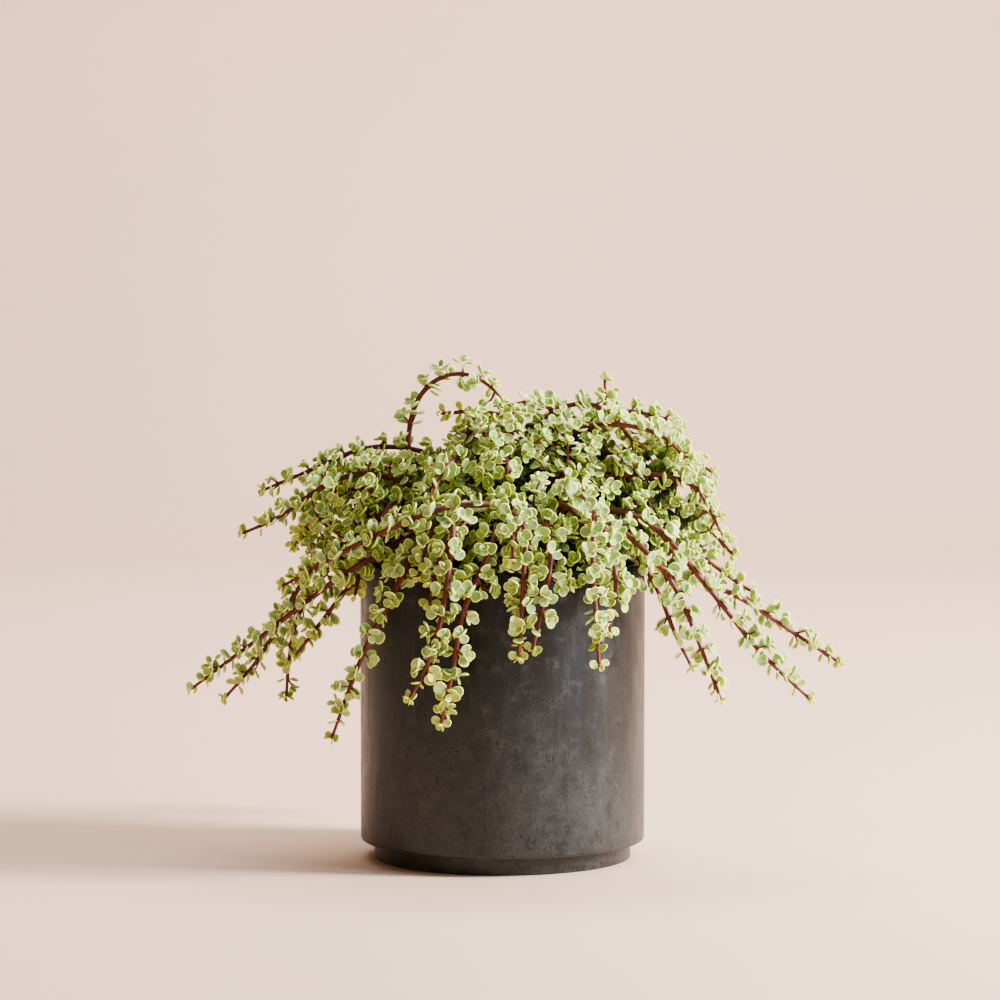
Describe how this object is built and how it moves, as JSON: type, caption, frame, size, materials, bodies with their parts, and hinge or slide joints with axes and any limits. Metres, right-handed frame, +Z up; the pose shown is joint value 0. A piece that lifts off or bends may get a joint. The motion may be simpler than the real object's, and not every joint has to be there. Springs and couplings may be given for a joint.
{
  "type": "potted elephant bush",
  "caption": "Trailing succulent with small round fleshy leaves on arching and hanging stems, growing in a plain dark cylinder pot with a recessed foot.",
  "frame": {"origin": "centre of the pot's base, on the surface it stands on", "axes": "+Z up along the pot's axis, -Y towards the viewer of the plant's best side, +X to the right"},
  "size_m": [0.3813, 0.2722, 0.2943],
  "materials": {
    "pot": "satin, mottled dark grey",
    "soil": "rough, matt",
    "leafy_stem": "satin, green leaves with cream edges on red-brown stems"
  },
  "bodies": {
    "root": {"pot": "pot", "soil": "soil", "stem_top_1": "leafy_stem", "stem_top_2": "leafy_stem", "stem_top_3": "leafy_stem", "stem_top_4": "leafy_stem", "stem_top_5": "leafy_stem", "stem_top_6": "leafy_stem", "stem_right_1": "leafy_stem", "stem_right_2": "leafy_stem", "stem_right_3": "leafy_stem", "stem_right_4": "leafy_stem", "stem_right_5": "leafy_stem", "stem_right_6": "leafy_stem", "stem_right_7": "leafy_stem", "stem_right_8": "leafy_stem", "stem_right_9": "leafy_stem", "stem_front_1": "leafy_stem", "stem_front_2": "leafy_stem", "stem_front_3": "leafy_stem", "stem_front_4": "leafy_stem", "stem_front_5": "leafy_stem", "stem_front_6": "leafy_stem", "stem_front_7": "leafy_stem", "stem_left_1": "leafy_stem", "stem_left_2": "leafy_stem", "stem_left_3": "leafy_stem", "stem_left_4": "leafy_stem", "stem_left_5": "leafy_stem", "stem_left_6": "leafy_stem", "stem_left_7": "leafy_stem", "stem_left_8": "leafy_stem", "stem_left_9": "leafy_stem", "stem_back_1": "leafy_stem", "stem_back_2": "leafy_stem", "stem_back_3": "leafy_stem", "stem_back_4": "leafy_stem", "stem_back_5": "leafy_stem", "stem_back_6": "leafy_stem", "stem_back_7": "leafy_stem", "stem_back_8": "leafy_stem", "stem_back_9": "leafy_stem", "stem_back_10": "leafy_stem", "stem_back_11": "leafy_stem", "stem_crown_1": "leafy_stem", "stem_crown_2": "leafy_stem", "stem_crown_3": "leafy_stem", "stem_crown_4": "leafy_stem", "stem_crown_5": "leafy_stem", "stem_crown_6": "leafy_stem", "stem_crown_7": "leafy_stem", "stem_crown_8": "leafy_stem", "stem_skirt_1": "leafy_stem", "stem_skirt_2": "leafy_stem", "stem_skirt_3": "leafy_stem", "stem_skirt_4": "leafy_stem", "stem_skirt_5": "leafy_stem"}
  },
  "joints": []
}
